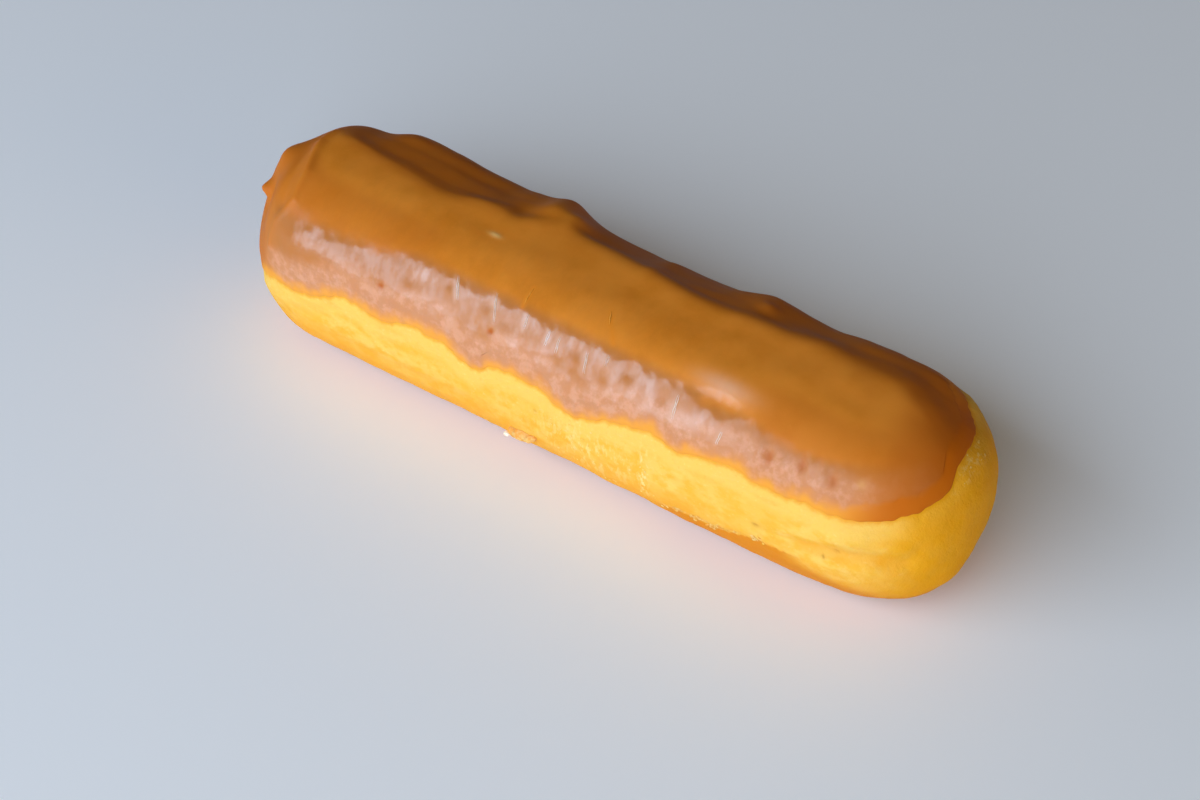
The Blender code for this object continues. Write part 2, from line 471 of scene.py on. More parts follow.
# Meshes
def skinFaces(rings, columns):
    ring = np.arange(columns)
    after = (ring + 1) % columns
    strips = [np.stack([r * columns + ring, (r + 1) * columns + ring, (r + 1) * columns + after,
                        r * columns + after], axis=1) for r in range(rings - 1)]
    half = np.arange(1, columns // 2 - 1)
    crown = np.stack([half, half + 1, columns - half - 1, columns - half], axis=1)
    keel = crown[:, ::-1] + (rings - 1) * columns
    quads = np.concatenate([*strips, crown, keel])
    end = columns // 2
    tips = [(0, 1, columns - 1), (end - 1, end, end + 1)]
    low = (rings - 1) * columns
    triangles = tips + [tuple(low + c for c in reversed(tip)) for tip in tips]
    return quads.tolist() + triangles


def makePiece(name, points, edges, faces, attributes):
    mesh = bpy.data.meshes.new(name)
    mesh.from_pydata((np.reshape(points, (-1, 3)) * mm).tolist(), edges, faces)
    if faces:
        mesh.shade_smooth()
    for title, values in attributes.items():
        layer = mesh.attributes.new(title, "FLOAT", "POINT")
        layer.data.foreach_set("value", np.ascontiguousarray(values, dtype=np.float32).ravel())
    return addObject(name, mesh)


def makeSkin(name, rings, attributes):
    return makePiece(name, rings + np.array(bar["offset"]), [], skinFaces(*rings.shape[:2]), attributes)


# Geometry Nodes
def startNodes(name, inputs):
    tree = bpy.data.node_groups.new(name, "GeometryNodeTree")
    tree.interface.new_socket("Geometry", in_out="INPUT", socket_type="NodeSocketGeometry")
    tree.interface.new_socket("Geometry", in_out="OUTPUT", socket_type="NodeSocketGeometry")
    for title in inputs:
        kind = "NodeSocketInt" if title == "seed" else "NodeSocketFloat"
        tree.interface.new_socket(title, in_out="INPUT", socket_type=kind)
    return tree, tree.nodes.new("NodeGroupInput"), tree.nodes.new("NodeGroupOutput")


def endNodes(tree, geometry, output, material):
    real = made(tree, "GeometryNodeRealizeInstances", {"Geometry": geometry})
    finish = made(tree, "GeometryNodeSetMaterial", {"Geometry": real, "Material": material})
    tree.links.new(finish, output.inputs["Geometry"])


def runNodes(piece, tree, values):
    modifier = piece.modifiers.new(tree.name, "NODES")
    modifier.node_group = tree
    for item in tree.interface.items_tree:
        if item.in_out == "INPUT" and item.name in values:
            modifier[item.identifier] = values[item.name]
    graph = bpy.context.evaluated_depsgraph_get()
    mesh = bpy.data.meshes.new_from_object(piece.evaluated_get(graph))
    piece.modifiers.clear()
    old = piece.data
    piece.data = mesh
    bpy.data.meshes.remove(old)
    mesh.name = piece.name
    return piece


# Eases what stands out of the solids' box back into it, over the last half millimetre.
def settle(piece):
    points = np.empty(len(piece.data.vertices) * 3, dtype=np.float32)
    piece.data.vertices.foreach_get("co", points)
    points = points.reshape(-1, 3)
    low, high = (np.array(corner, dtype=np.float32) for corner in cadBox)
    soft = 0.5 * mm
    for axis, wall, way in ((0, high, 1), (0, low, -1), (1, high, 1), (1, low, -1), (2, high, 1)):
        over = way * (points[:, axis] - wall[axis]) + soft
        points[:, axis] -= way * np.where(over > 0, over - soft * np.tanh(over / soft), 0)
    piece.data.vertices.foreach_set("co", points.ravel())
    piece.data.update()
    return piece


def vectorCalc(tree, operation, first, second):
    node = tree.nodes.new("ShaderNodeVectorMath")
    node.operation = operation
    return fill(tree, node, {0: first, "Scale" if operation == "SCALE" else 1: second}).outputs["Vector"]


def named(tree, title):
    node = tree.nodes.new("GeometryNodeInputNamedAttribute")
    node.data_type = "FLOAT"
    return fill(tree, node, {"Name": title}).outputs["Attribute"]


# Moves each point along its normal by layers of noise. A layer has a height and a length in
# metres, a stretch that draws its grain out along one way, and an attribute that says where.
def reliefNodes(name, layers, material):
    inputs = [f"{title} {kind}" for title in layers for kind in ("height", "length")]
    tree, start, output = startNodes(name, inputs)
    position = made(tree, "GeometryNodeInputPosition")
    total = None
    for number, (title, (_, _, stretch, mask)) in enumerate(layers.items()):
        grain = tree.nodes.new("ShaderNodeTexNoise")
        grain.noise_dimensions = "4D"
        fill(tree, grain, {
            "Vector": vectorCalc(tree, "MULTIPLY", position, stretch),
            "Scale": calc(tree, "DIVIDE", 1.0, start.outputs[f"{title} length"]),
            "W": 3.7 * (number + 1), "Detail": 1.0})
        swing = calc(tree, "MULTIPLY", calc(tree, "SUBTRACT", grain.outputs["Fac"], 0.5), 2.0)
        rise = calc(tree, "MULTIPLY", swing, start.outputs[f"{title} height"])
        rise = calc(tree, "MULTIPLY", rise, named(tree, mask))
        total = rise if total is None else calc(tree, "ADD", total, rise)
    offset = vectorCalc(tree, "SCALE", made(tree, "GeometryNodeInputNormal"), total)
    moved = made(tree, "GeometryNodeSetPosition", {"Geometry": start.outputs["Geometry"], "Offset": offset})
    endNodes(tree, moved, output, material)
    return tree


def addRelief(piece, name, layers, material):
    values = {f"{title} {kind}": value for title, layer in layers.items()
              for kind, value in zip(("height", "length"), layer)}
    return settle(runNodes(piece, reliefNodes(name, layers, material), values))


# Strews flattened grains over a skin, where the named attribute says, and roughens them.
def scatterNodes(name, mask, flatness, material):
    tree, start, output = startNodes(name, ["density", "smallest", "largest", "ragged", "seed"])
    given = start.outputs
    strew = addNode(tree, "GeometryNodeDistributePointsOnFaces", {
        "Mesh": given["Geometry"], "Seed": given["seed"],
        "Density": calc(tree, "MULTIPLY", named(tree, mask), given["density"])})
    grain = made(tree, "GeometryNodeMeshIcoSphere", {"Radius": 0.5, "Subdivisions": 2})
    draws = []
    for limits in ({"Max": 6.28}, {2: given["smallest"], 3: given["largest"]}, {2: 0.45}):
        seed = calc(tree, "ADD", given["seed"], len(draws) + 1.0)
        draws.append(addNode(tree, "FunctionNodeRandomValue", {**limits, "Seed": seed}).outputs[1])
    spin, size, width = draws
    turn = made(tree, "FunctionNodeAxisAngleToRotation", {"Angle": spin})
    both = addNode(tree, "FunctionNodeRotateRotation", {
        "Rotation": strew.outputs["Rotation"], "Rotate By": turn})
    both.rotation_space = "LOCAL"
    shape = made(tree, "ShaderNodeCombineXYZ", {"X": 1.0, "Y": width, "Z": flatness})
    stand = made(tree, "GeometryNodeInstanceOnPoints", {
        "Points": strew.outputs["Points"], "Instance": grain, "Rotation": both.outputs[0],
        "Scale": vectorCalc(tree, "SCALE", shape, size)})
    loose = made(tree, "GeometryNodeRealizeInstances", {"Geometry": stand})
    jolt = addNode(tree, "ShaderNodeTexNoise", {"Scale": 1600.0}).outputs["Color"]
    shake = vectorCalc(tree, "SCALE", vectorCalc(tree, "SUBTRACT", jolt, (0.5, 0.5, 0.5)), given["ragged"])
    moved = made(tree, "GeometryNodeSetPosition", {"Geometry": loose, "Offset": shake})
    endNodes(tree, moved, output, material)
    return tree


# Turns lines of points into round threads whose width the attribute gives, in metres.
def threadNodes(name, width, material):
    tree, start, output = startNodes(name, ["sides"])
    path = made(tree, "GeometryNodeMeshToCurve", {"Mesh": start.outputs["Geometry"]})
    ring = made(tree, "GeometryNodeCurvePrimitiveCircle", {
        "Radius": 0.5, "Resolution": start.outputs["sides"]})
    sweep = made(tree, "GeometryNodeCurveToMesh", {
        "Curve": path, "Profile Curve": ring, "Scale": named(tree, width), "Fill Caps": True})
    smooth = made(tree, "GeometryNodeSetShadeSmooth", {"Geometry": sweep})
    endNodes(tree, smooth, output, material)
    return tree


# Dough
dough = {
    "hiddenRings": 10,
    "rings": 84,
    "shallowRun": 2.5,       # mm above the icing's edge where the fine rings begin
    "relief": {
        "lump": (0.00045, 0.009, (1, 1, 1), "freeSkin"),
        "groove": (0.00018, 0.0045, (0.12, 1, 1), "freeSkin"),
        "skin": (0.00010, 0.0014, (1, 1, 1), "freeSkin"),
        "torn": (0.00032, 0.0012, (1, 1, 0.6), "flaking"),
    },
    "seam": [(-95, 8.5), (-60, 6.5), (-20, 6.0), (18, 6.5), (28, 7.9), (34, 9.5), (42, 9.7),
             (47, 11.3), (52, 13.0), (57, 13.7), (63, 13.9), (70, 12.5), (80, 9.5), (95, 8.0)],
    "tornSeam": ((27, 4), (64, -6)),  # x and run where the seam opens and closes
    "creases": [      # torn seam, then the soft folds towards the bare end
        ([(28, -22.3, 7.6), (34, -22.9, 9.3), (42, -23, 9.5), (52, -23.9, 12.8), (63, -24, 13.7)],
         0.7, -0.7),
        ([(28, -22.5, 8.9), (34, -23.1, 10.7), (42, -23.4, 10.9), (52, -24, 14.2), (63, -24, 15.1)],
         0.8, 0.3),
        ([(54, -24, 15.8), (60, -24, 17.5), (68, -24, 19.4), (77, -21.7, 20.6), (84, -17.5, 19.5)],
         1.9, -0.6),
        ([(52, -24, 19), (60, -24, 21), (68, -24, 22.9), (77, -21.7, 24.1), (84, -17.5, 23)], 2.0, 0.4),
        ([(56, -24, 13.5), (66, -23.8, 15.5), (76, -21.5, 16.8), (83, -17.5, 16)], 1.6, 0.3),
        ([(-70, -22, 13), (-40, -23, 12), (-20, -23, 13)], 1.4, -0.25),
    ],
    "swells": [       # swollen rim of crust, then pits
        (-8, -21.8, 7.6, 2.4, 3, 1.6, 0.9), (52.8, -24, 17.6, 0.7, 2, 0.5, -0.25),
        (68.7, -24, 17.6, 0.5, 2, 0.5, -0.3), (71.3, -23.5, 19.9, 0.6, 2, 0.5, -0.25),
    ],
    "specks": [(52.8, -24, 17.6, 0.8, 2, 0.5, 0.7), (68.7, -24, 17.6, 0.4, 2, 0.4, 1),
               (71.3, -23.5, 19.9, 0.6, 2, 0.4, 0.7), (-2, -24, 19, 0.4, 2, 0.4, 0.5)],
    "flaking": [(11, -23.5, 15, 12, 5, 6, 0.55), (25.5, -23.7, 17, 0.9, 4, 7, 1),
                (84.5, 3, 35.5, 3, 4.5, 3.5, 0.9), (86, -3.5, 33, 2.5, 3, 3, 0.4)],
    "frayed": [(x, -23.5, 11, halfWidth, 9, 9, share) for x, halfWidth, share in (
        (29, 1.2, 0.8), (33, 1, 0.7), (37.5, 2.5, 0.7), (42.5, 2.2, 1.3), (48, 0.9, 0.8), (53, 1.8, 0.9))],
    "frayedBand": (0.2, 0.55),  # its middle over the seam and its half width
    "freeBelow": (0.3, 2.5),  # mm below the icing's edge, and above the base, where relief sets in
    "freeAbove": (0.05, 1.5),
    "pale": (0.94, 0.545, 0.105),
    "golden": (0.91, 0.455, 0.045),
    "deep": (0.88, 0.36, 0.030),
    "cream": (0.96, 0.69, 0.24),
    "stain": (0.90, 0.34, 0.022),
    "browned": (0.72, 0.225, 0.011),
    "cap": (0.90, 0.385, 0.001),  # where the bare end turns out of the light
    # painted shade low down, where the bar meets the floor
    "baseShade": (0.36, 0.10, 0.012),
    "speck": (0.50, 0.16, 0.010),
}


def doughMaterial(spec):
    material, tree, shader = startMaterial("friedDough")
    below = attribute(tree, "belowIcing")
    patch = noise(tree, 9.0, 3)
    fleck = noise(tree, 1.1, 3, 0.65, (1, 1, 1.5))
    blotch = noise(tree, 3.4, 3, 0.6, (0.7, 1, 1), (0.2, 0, 0))
    streak = noise(tree, 4.0, 2, 0.5, (0.22, 1, 1))
    shred = noise(tree, 1.5, 3, 0.65, (1.4, 1, 0.55), (0, 0, 0.3))
    x, _, z = axes(tree)
    flaked = calc(tree, "MULTIPLY", remap(tree, shred, 0.50, 0.62), attribute(tree, "flaking"))
    under = ragged(tree, attribute(tree, "underSeam"), fleck, 2.0)
    underSeam = blend(tree, attribute(tree, "tornness"), remap(tree, under, -1.0, 5.0, 0, 0.9),
                      remap(tree, under, -0.3, 0.5, 0, 0.95))
    colour = blend(tree, remap(tree, blotch, 0.36, 0.60), spec["golden"], spec["pale"])
    colour = layered(tree, colour, spec, (
        (remap(tree, patch, 0.58, 0.40, 0, 0.5), "golden"),
        (remap(tree, ragged(tree, below, blotch, 4), 6.0, 3.0, 0, 0.9), "pale"),
        (remap(tree, streak, 0.52, 0.68, 0, 0.3), "deep"),
        (remap(tree, fleck, 0.58, 0.74, 0, 0.3), "cream"),
        (remap(tree, fleck, 0.42, 0.28, 0, 0.25), "deep"),
        (remap(tree, ragged(tree, below, fleck, 1.0), 1.3, 0, 0.0, 0.8), "stain"),
        (remap(tree, ragged(tree, z, blotch, 0.008), 0.018, 0.006, 0, 0.95), "deep"),
        # painted shade in the hollows of the creases
        (attribute(tree, "foldShade"), "deep"),
        (remap(tree, ragged(tree, x, patch, 0.010), 0.074, 0.088, 0, 0.85), "cap"),
        (calc(tree, "MINIMUM", flaked, 0.85), "cream"),
        (underSeam, "browned"),
        # painted shade low down, where the bar meets the floor
        (remap(tree, z, 0.0045, 0.0008, 0, 0.8), "baseShade"),
        (attribute(tree, "specks"), "speck"),
    ))
    grain = bump(tree, noise(tree, 0.9, 3, 0.6), 0.14)
    fill(tree, shader, {
        "Base Color": colour,
        "Roughness": 0.66, "Specular IOR Level": 0.06,
        "Subsurface Weight": 0.3, "Subsurface Radius": (1.0, 0.45, 0.12), "Subsurface Scale": 0.002,
        "Normal": bump(tree, noise(tree, 0.35, 2, 0.6), 0.05, grain),
    })
    return material


def flakeMaterial(name, colour, paler, length=1.4):
    material, tree, shader = startMaterial(name)
    share = remap(tree, noise(tree, length), 0.4, 0.6)
    fill(tree, shader, {
        "Base Color": blend(tree, share, colour, paler),
        "Roughness": 0.65, "Specular IOR Level": 0.2,
        "Subsurface Weight": 0.3, "Subsurface Radius": (1.0, 0.6, 0.3), "Subsurface Scale": 0.001,
        "Normal": bump(tree, noise(tree, 0.3), 0.05),
    })
    return material


def makeDough(spec):
    hidden = np.linspace(0, 1, spec["hiddenRings"], endpoint=False)[:, None]
    shown = np.linspace(0, 1, spec["rings"])[:, None]
    crown, keel = arcAt(bar["crownFall"]), arcAt(bar["keelFall"])
    start = edge - spec["shallowRun"]
    arcs = np.concatenate([crown + (start - crown) * hidden, start + (keel - start) * shown])
    points = doughPoints(arcs)
    below = arcs - edge
    free = ramp(below, *spec["freeBelow"]) * ramp(points[..., 2], *spec["freeAbove"])
    rise = swellRise(points, spec["swells"]) + creaseRise(points, spec["creases"])
    points += normalsOf(points) * (rise * free)[..., None]
    x, y, z = np.moveaxis(points, -1, 0)
    seam = np.interp(x, *zip(*spec["seam"]))
    opens, closes = spec["tornSeam"]
    torn = ramp(x, *opens) * ramp(x, *closes) * (y < 0)
    middle, halfWidth = spec["frayedBand"]
    atSeam = torn * np.exp(-((z - seam - middle) / halfWidth) ** 2)
    atSeam *= np.clip(swellRise(points, spec["frayed"]), 0, 1)
    flaking = np.clip(swellRise(points, spec["flaking"]) + atSeam, 0, 1) * eased(below / 2)
    piece = makeSkin("doughBar", points, {
        "belowIcing": below, "freeSkin": free, "underSeam": seam - z, "tornness": torn,
        "specks": np.clip(swellRise(points, spec["specks"]), 0, 1),
        # painted shade in the hollows of the creases
        "foldShade": np.clip(-creaseRise(points, spec["creases"]), 0, 1) * (1 - torn),
        "flaking": flaking, "seamFlaking": atSeam})
    return addRelief(piece, "crustRelief", spec["relief"], doughMaterial(spec))


# Flakes of torn skin on the dough
flakes = {
    "side": {"density": 0.5e6, "smallest": 0.0003, "largest": 0.0008, "ragged": 0.0003, "seed": 5},
    "seam": {"density": 3.5e6, "smallest": 0.0004, "largest": 0.0014, "ragged": 0.0006, "seed": 8},
    "flatness": 0.25,
    "skin": ((0.93, 0.51, 0.08), (0.94, 0.60, 0.16)),
    "crumb": ((0.84, 0.34, 0.045), (0.92, 0.54, 0.16)),
}


def makeScatter(name, source, mask, flatness, material, values):
    piece = addObject(name, source.data.copy())
    return runNodes(piece, scatterNodes(name + "Strewing", mask, flatness, material), values)


# A lifted flake of crust low on the shown side, with a pale crumb at its tip. A lump has a
# middle, a half size along, out from and up the side, and a turn in degrees, in mm.
crustFlake = {
    "crust": {
        "lumps": [((-6.5, -22.3, 9.3), (2.8, 1.2, 1.3), 12), ((-8.1, -22.3, 9.2), (1.3, 1.0, 1.1), -20),
                  ((-3.9, -22.6, 9.6), (2.0, 0.9, 0.8), 28)],
        "colours": ((0.90, 0.36, 0.060), (0.93, 0.50, 0.14)),
    },
    "tip": {
        "lumps": [((-9.5, -22.8, 8.3), (0.7, 0.6, 0.5), 30)],
        "colours": ((0.92, 0.70, 0.42), (0.95, 0.85, 0.68)),
    },
    "rings": 22,
    "sides": 30,
    "waves": (0.8, 1.7, 3.4),  # that roughen a lump, coarse to fine
    "ragged": 0.13,
    "raggedWays": (1, 0.7, 0.7),
    "seed": 4,
}


def makeCrustFlake(name, spec, form):
    rings, sides = spec["rings"], spec["sides"]
    down = np.linspace(0, math.pi, rings)[1:-1, None]
    turn = np.linspace(0, 2 * math.pi, sides, endpoint=False)[None]
    ball = np.stack([np.sin(down) * np.cos(turn), np.sin(down) * np.sin(turn), np.cos(down) + 0 * turn], -1)
    ball = np.concatenate([[[0, 0, 1.0]], ball.reshape(-1, 3), [[0, 0, -1.0]]])
    ring = np.arange(sides)
    after, last = (ring + 1) % sides, len(ball) - 1
    faces = [(0, 1 + a, 1 + b) for a, b in zip(ring, after)]
    for row in range(rings - 3):
        low = 1 + row * sides
        faces += [(low + a, low + sides + a, low + sides + b, low + b) for a, b in zip(ring, after)]
    faces += [(last - sides + b, last - sides + a, last) for a, b in zip(ring, after)]
    draw = np.random.default_rng(spec["seed"])
    points, allFaces = [], []
    for number, (middle, half, degrees) in enumerate(form["lumps"]):
        shape = ball * half
        for waves in spec["waves"]:
            ways = draw.normal(size=(3, 3)) * waves
            swing = spec["ragged"] / waves * np.sin(shape @ ways + draw.random(3) * 6)
            shape += swing * np.array(spec["raggedWays"])
        lean = math.radians(degrees)
        along, up = shape[:, 0].copy(), shape[:, 2].copy()
        shape[:, 0] = along * math.cos(lean) - up * math.sin(lean)
        shape[:, 2] = along * math.sin(lean) + up * math.cos(lean)
        points.append(shape + np.array(middle) + np.array(bar["offset"]))
        allFaces += [tuple(int(v) + number * len(ball) for v in face) for face in faces]
    piece = makePiece(name, np.concatenate(points), [], allFaces, {})
    piece.data.materials.append(flakeMaterial(name + "Look", *form["colours"], 1.0))
    return settle(piece)


# Icing
icing = {
    "rings": 80,
    "lipRings": (0.5, 0.28, 0.12, 0.03, 0.0),  # mm left to the edge
    "underRings": 8,
    "relief": {
        "wave": (0.00022, 0.010, (0.7, 1, 1), "freeSkin"),
        "hummock": (0.00035, 0.0075, (0.8, 1, 1), "rearSkin"),
        "scallop": (0.00028, 0.0032, (1, 0.7, 0.7), "bandSkin"),
        "ripple": (0.00007, 0.0011, (1, 0.6, 0.6), "bandSkin"),
    },
    "swells": [
        (-84.6, -9.2, 30.6, 1.9, 2.1, 1.6, 2.7),  # frozen drip on the iced end, then fat ends of drips
        (-45, -23, 24, 4, 4, 3, 0.3), (-19, -23, 24, 4, 4, 3, 0.35), (7, -23, 24, 4, 4, 3, 0.35),
        (38.8, -16.4, 37.8, 5, 1.8, 2, -0.5), (37, -12, 40.2, 11, 3.4, 3, 0.35),  # shown slope
        (-61.3, -21.6, 32, 3.5, 2.2, 2.2, -0.5), (-36.7, -19.6, 34.9, 1.8, 1.6, 1.6, -0.35),
        (-27.5, -17.9, 36.9, 1, 1, 1, -0.2), (-17.3, -18.2, 36.4, 1.3, 1.3, 1.3, -0.28),
        (-11.2, -19.3, 34.9, 2.5, 1.3, 1.3, -0.15), (0.9, -20.8, 32, 2.2, 1.6, 1.6, -0.3),
        (5.7, -18.7, 35.6, 1.4, 1.4, 1.4, -0.3), (13, -19.8, 33.9, 1.7, 1.7, 1.7, -0.35),
        (18.1, -18.3, 36, 1.6, 1.6, 1.6, -0.35), (27.1, -19.3, 34.8, 1.5, 1.5, 1.5, -0.3),
        (40.5, -18, 36.4, 1, 1, 1, -0.2), (53.2, -20.2, 34, 0.9, 1.3, 1.3, -0.4),
        (60.4, -19.5, 35, 0.9, 1.3, 1.3, -0.4), (67.6, -19.6, 34.8, 1, 1.3, 1.3, -0.4),  # pits
        (51.2, -20.4, 33.6, 0.9, 2.2, 2.2, 0.45), (56.8, -20.6, 33.6, 1.2, 1.8, 1.8, 0.4),  # folds
        (62.4, -19.8, 34.4, 0.9, 2.4, 2.4, 0.4), (65.5, -20, 34, 0.9, 2.4, 2.4, 0.45),
        (-25.9, -4.2, 42, 1.5, 0.6, 0.9, 0.15),  # pale blob, then pinholes
        (-42.9, -21.4, 31.9, 0.55, 1.5, 0.55, -0.3), (-14.8, -20.8, 32.6, 0.55, 1.5, 0.55, -0.3),
    ],
    "creases": [      # fold round the iced end
        ([(-76.5, 6, 42), (-76.4, 0.5, 42), (-72.1, -9.7, 41.2), (-70.6, -16, 38.3), (-72.7, -19.1, 33.9),
          (-73.9, -20.8, 27.5)], 1.1, 0.6),
        ([(-79.5, 5, 41.5), (-79.3, -1, 41), (-75.5, -10.5, 39.7), (-74, -17, 36.5)], 1.8, -0.55),
    ],
    "glossAlong": [(-90, 0.0), (-74, 0.0), (-70, 0.14), (-66, 0.48), (-62, 0.71), (10, 0.71), (25, 0.62),
                   (34, 0.48), (45, 0.24), (56, 0.13), (68, 0.11), (76, 0.03), (90, 0.0)],  # by x in mm
    "rearGloss": 0.01,
    "glints": [       # brighter patches of the gloss, then duller ones
        (-62, -20.8, 34.5, 5, 1.8, 1.8, 0.5), (-49.5, -18.6, 36.8, 2.5, 1.6, 1.6, 0.5),
        (-33.8, -18.3, 36.8, 2.4, 1.5, 1.5, 0.8), (-23, -17.3, 37.4, 2.2, 1.5, 1.5, 0.8),
        (-19, -17.8, 37, 1.2, 2, 2, 0.6), (-14, -16.6, 38, 1.5, 1.5, 1.5, 0.8),
        (-9, -18, 36.8, 1.2, 2, 2, 1), (-5.8, -18, 37, 0.8, 1.6, 1.6, 0.8), (-2, -18.7, 35.9, 1, 2, 2, 1),
        (3, -18.2, 36.6, 1.2, 1.2, 1.2, 0.7), (7.3, -18.4, 36, 1.4, 1.5, 1.5, 0.8),
        (10.5, -17.4, 37.2, 1.6, 1.2, 1.2, 1), (15.4, -18.8, 35.6, 0.8, 2.5, 2.5, 0.8),
        (21, -17.8, 36.4, 1.8, 1.6, 1.6, 1), (23.8, -18.8, 35.4, 1.4, 2.5, 2.5, 0.9),
        (36.9, -19.4, 34.8, 4, 1.6, 1.6, 1.2), (34, -20.4, 33.6, 2, 1.2, 1.2, 0.8),
        (38, -13.2, 39.6, 6, 2.4, 2.4, 0.6), (44.9, -16.5, 37.7, 1.8, 1.8, 1.8, 1.4),
        (47.5, -15.5, 38.3, 1.5, 1.5, 1.5, 1), (51, -20.9, 33.2, 0.9, 2, 2, 1),
        (56.8, -20.9, 33.4, 1.3, 1.8, 1.8, 1), (62.6, -20, 34.4, 0.9, 2.5, 2.5, 1),
        (65.5, -20, 34, 0.9, 2.5, 2.5, 1.2), (72.5, -18.5, 34.5, 1.5, 2, 2, 1),
        (-61.3, -22.2, 31, 4.5, 2, 1.8, -0.9), (-36.7, -20.4, 34.1, 2, 1.6, 1.5, -0.9),
        (-27.5, -18.7, 36.1, 1.3, 1.3, 1.3, -0.8), (-17.3, -19, 35.6, 1.6, 1.5, 1.5, -0.8),
        (-11.2, -20.1, 34.1, 4.5, 1.5, 1.5, -0.45), (0.9, -21.6, 31.2, 3, 1.8, 1.8, -0.5),
        (5.7, -19.6, 34.8, 1.8, 1.5, 1.5, -0.95), (13, -20.6, 33.1, 2, 1.7, 1.7, -0.95),
        (18.1, -19.1, 35.1, 1.9, 1.4, 1.4, -0.95), (27.1, -20.1, 34, 1.8, 1.6, 1.6, -0.9),
        (39, -17, 37.3, 5, 1.5, 1.5, -1.2), (40.5, -18.8, 35.6, 1.2, 1.1, 1.1, -0.6),
        (-42.9, -21.6, 31.9, 0.9, 2, 0.9, -1), (-14.8, -21, 32.6, 0.9, 2, 0.9, -1),
        (53.2, -20.4, 33.8, 1, 1.8, 1.6, -1.2), (60.4, -19.7, 34.8, 1, 1.8, 1.6, -1.2),
        (67.6, -19.8, 34.6, 1, 1.8, 1.6, -1.2),
    ],
    # painted shade in the pinholes and pits
    "pitShading": [(-42.9, -21.6, 31.9, 0.6, 2, 0.55, 1.3), (-14.8, -21, 32.6, 0.6, 2, 0.55, 1.3),
               (53.2, -20.4, 33.8, 0.8, 1.6, 1.2, 0.7), (60.4, -19.7, 34.8, 0.8, 1.6, 1.2, 0.7),
               (67.6, -19.8, 34.6, 0.8, 1.6, 1.2, 0.6)],
    "pale": [(-25.9, -4.2, 42, 1.4, 0.6, 2, 0.9), (73, -17.9, 35.4, 0.9, 0.9, 0.9, 0.25)],
    "splits": [([(-10.4, -11.6, 40.4), (-10.2, -16, 38.5)], 0.55, 0.9),  # two, then a warm trough
               ([(7.3, -9.2, 41), (8.9, -11.6, 40.3), (12, -15, 38.8)], 0.55, 0.9),
               ([(35.5, -17, 37.4), (42, -16.2, 37.7)], 1.3, 0.5)],
    "paintedGlintRound": (0.5, 0.35),  # half width and share of the painted glint round a thread
    # painted sheen patch on the shown slope
    "paintedSheenPatch": [(38.3, -13.4, 39.4, 6, 2, 2, 0.5)],
    "lit": [(-17.8, 9.3, 41.5, 6.5, 5.5, 6, 1)],  # hummock left out of the painted shade, so it keeps the colour of the top
    "freeRun": 3.5,   # mm left to the edge over which the relief sets in
    "shown": (2, -8),        # y and run
    "shownBand": {      # the band down the shown slope that takes the painted shade and sheen and the scallops: degrees of fall, then -y and x, each with its run
        "begins": 32, "run": 10, "aside": (5, 6), "ahead": (-80, 10), "fading": (66, 14), "faded": 0.9,
        "later": (57, 13, 9),  # x, half width or run, and by how many degrees it begins later
        "farOut": [(-36, -12, 10), (-60, -10, 4)],
    },
    # painted shade on the shown shoulder towards both ends, which evens out the lamp's light there
    "shadedShoulder": {"share": 0.55, "fall": (12, 10), "far": (-28, -12), "near": (40, 12), "aside": (0, 6),
                "farOut": (-60, -10), "more": 0.4},
    # where painted shade darkens both ends of the top
    "shadedEnds": {"far": (-72, -6), "near": (68, 10), "nearShare": 0.9},
    "deep": (0.72, 0.212, 0.013),
    "caramel": (0.82, 0.260, 0.024),
    "paintedShade": (0.56, 0.140, 0.009),  # painted shade behind the line along the top, at the ends and on the shown shoulder
    # painted shade at the bare end, which turns away from the lamp
    "paintedShadeAtEnd": (0.47, 0.095, 0.002),
    "slope": (0.50, 0.168, 0.038),  # painted shade that evens out the lamp's light down the shown slope, with a mauve cast of painted sheen
    # painted sheen low on the shown slope, above the rim
    "paintedSheen": (0.64, 0.25, 0.10),
    "paintedSheenPink": (0.78, 0.36, 0.20),
    "fold": (0.84, 0.28, 0.030),  # thin line where the rim rolls over
    "rim": (0.90, 0.34, 0.028),
    # painted shade on the rim at the bare end
    "rimShadeAtEnd": (0.61, 0.140, 0.002),
    # painted shade in the pinholes and pits
    "pitShade": (0.50, 0.105, 0.008),
    "open": (0.84, 0.25, 0.015),
    "paintedGlint": (0.80, 0.48, 0.33),  # painted glint round the threads
    "cream": (0.92, 0.55, 0.18),
}


